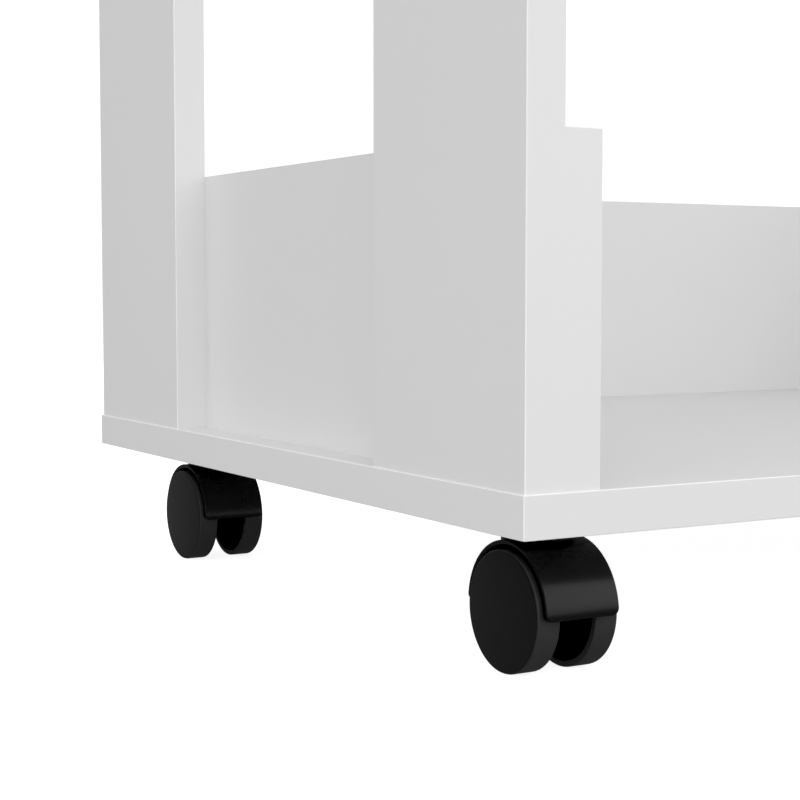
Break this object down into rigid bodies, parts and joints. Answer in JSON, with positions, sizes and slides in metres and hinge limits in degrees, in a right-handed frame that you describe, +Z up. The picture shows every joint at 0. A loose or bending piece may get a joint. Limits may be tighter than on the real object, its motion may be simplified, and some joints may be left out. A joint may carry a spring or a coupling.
{
  "type": "mobile cpu stand",
  "caption": "Open white board stand for a computer tower: low sides and back, flat corner posts, a printer shelf on top and swivelling twin-wheel casters.",
  "frame": {"origin": "on the floor, under the middle of the stand", "axes": "+Z up, +X to the right-hand side, -Y towards the open front"},
  "size_m": [0.55, 0.392, 0.6509],
  "materials": {
    "white_melamine": "white melamine-faced particle board with white edge banding, fine satin texture",
    "black_nylon": "glossy black moulded nylon",
    "black_wheel": "glossy black moulded nylon, slightly duller tread",
    "zinc_steel": "bright zinc plate",
    "bright_steel": "drawn steel pin",
    "spring_steel": "blued spring steel",
    "zinc_alloy": "die-cast zinc alloy",
    "beech": "beech dowel",
    "white_nylon": "natural nylon washer"
  },
  "bodies": {
    "stand": {"base_panel": "white_melamine", "top_panel": "white_melamine", "left_side_panel": "white_melamine", "right_side_panel": "white_melamine", "back_panel": "white_melamine", "front_left_post": "white_melamine", "front_right_post": "white_melamine", "rear_left_post": "white_melamine", "rear_right_post": "white_melamine", "upper_left_rail": "white_melamine", "upper_right_rail": "white_melamine", "upper_back_rail": "white_melamine", "base_screws": "zinc_steel", "side_panel_screws": "zinc_steel", "rail_screws": "zinc_steel", "back_board_screws": "zinc_steel", "caster_screws": "zinc_steel", "cam_bolts": "zinc_steel", "cam_locks": "zinc_alloy", "base_dowels": "beech", "top_dowels": "beech", "stem_clips": "spring_steel", "swivel_washers": "white_nylon", "front_left_caster_plate": "zinc_steel", "front_left_caster_stem": "bright_steel", "front_right_caster_plate": "zinc_steel", "front_right_caster_stem": "bright_steel", "rear_left_caster_plate": "zinc_steel", "rear_left_caster_stem": "bright_steel", "rear_right_caster_plate": "zinc_steel", "rear_right_caster_stem": "bright_steel"},
    "front_left_caster": {"front_left_caster_hood": "black_nylon", "front_left_caster_axle": "bright_steel"},
    "front_left_left_wheel": {"front_left_left_wheel": "black_wheel"},
    "front_left_right_wheel": {"front_left_right_wheel": "black_wheel"},
    "front_right_caster": {"front_right_caster_hood": "black_nylon", "front_right_caster_axle": "bright_steel"},
    "front_right_left_wheel": {"front_right_left_wheel": "black_wheel"},
    "front_right_right_wheel": {"front_right_right_wheel": "black_wheel"},
    "rear_left_caster": {"rear_left_caster_hood": "black_nylon", "rear_left_caster_axle": "bright_steel"},
    "rear_left_left_wheel": {"rear_left_left_wheel": "black_wheel"},
    "rear_left_right_wheel": {"rear_left_right_wheel": "black_wheel"},
    "rear_right_caster": {"rear_right_caster_hood": "black_nylon", "rear_right_caster_axle": "bright_steel"},
    "rear_right_left_wheel": {"rear_right_left_wheel": "black_wheel"},
    "rear_right_right_wheel": {"rear_right_right_wheel": "black_wheel"}
  },
  "joints": [
    {"name": "front_left_swivel", "type": "hinge", "parent": "stand", "child": "front_left_caster", "pos_m": [-0.24, -0.1435, 0.0389], "axis": [0, 0, 1], "continuous": true},
    {"name": "front_left_left_wheel_spin", "type": "hinge", "parent": "front_left_caster", "child": "front_left_left_wheel", "pos_m": [-0.2521, -0.156, 0.0218], "axis": [1, 0, 0], "continuous": true},
    {"name": "front_left_right_wheel_spin", "type": "hinge", "parent": "front_left_caster", "child": "front_left_right_wheel", "pos_m": [-0.2279, -0.156, 0.0218], "axis": [1, 0, 0], "continuous": true},
    {"name": "front_right_swivel", "type": "hinge", "parent": "stand", "child": "front_right_caster", "pos_m": [0.24, -0.1435, 0.0389], "axis": [0, 0, 1], "continuous": true},
    {"name": "front_right_left_wheel_spin", "type": "hinge", "parent": "front_right_caster", "child": "front_right_left_wheel", "pos_m": [0.2279, -0.156, 0.0218], "axis": [1, 0, 0], "continuous": true},
    {"name": "front_right_right_wheel_spin", "type": "hinge", "parent": "front_right_caster", "child": "front_right_right_wheel", "pos_m": [0.2521, -0.156, 0.0218], "axis": [1, 0, 0], "continuous": true},
    {"name": "rear_left_swivel", "type": "hinge", "parent": "stand", "child": "rear_left_caster", "pos_m": [-0.24, 0.1435, 0.0389], "axis": [0, 0, 1], "continuous": true},
    {"name": "rear_left_left_wheel_spin", "type": "hinge", "parent": "rear_left_caster", "child": "rear_left_left_wheel", "pos_m": [-0.2521, 0.131, 0.0218], "axis": [1, 0, 0], "continuous": true},
    {"name": "rear_left_right_wheel_spin", "type": "hinge", "parent": "rear_left_caster", "child": "rear_left_right_wheel", "pos_m": [-0.2279, 0.131, 0.0218], "axis": [1, 0, 0], "continuous": true},
    {"name": "rear_right_swivel", "type": "hinge", "parent": "stand", "child": "rear_right_caster", "pos_m": [0.24, 0.1435, 0.0389], "axis": [0, 0, 1], "continuous": true},
    {"name": "rear_right_left_wheel_spin", "type": "hinge", "parent": "rear_right_caster", "child": "rear_right_left_wheel", "pos_m": [0.2279, 0.131, 0.0218], "axis": [1, 0, 0], "continuous": true},
    {"name": "rear_right_right_wheel_spin", "type": "hinge", "parent": "rear_right_caster", "child": "rear_right_right_wheel", "pos_m": [0.2521, 0.131, 0.0218], "axis": [1, 0, 0], "continuous": true}
  ]
}
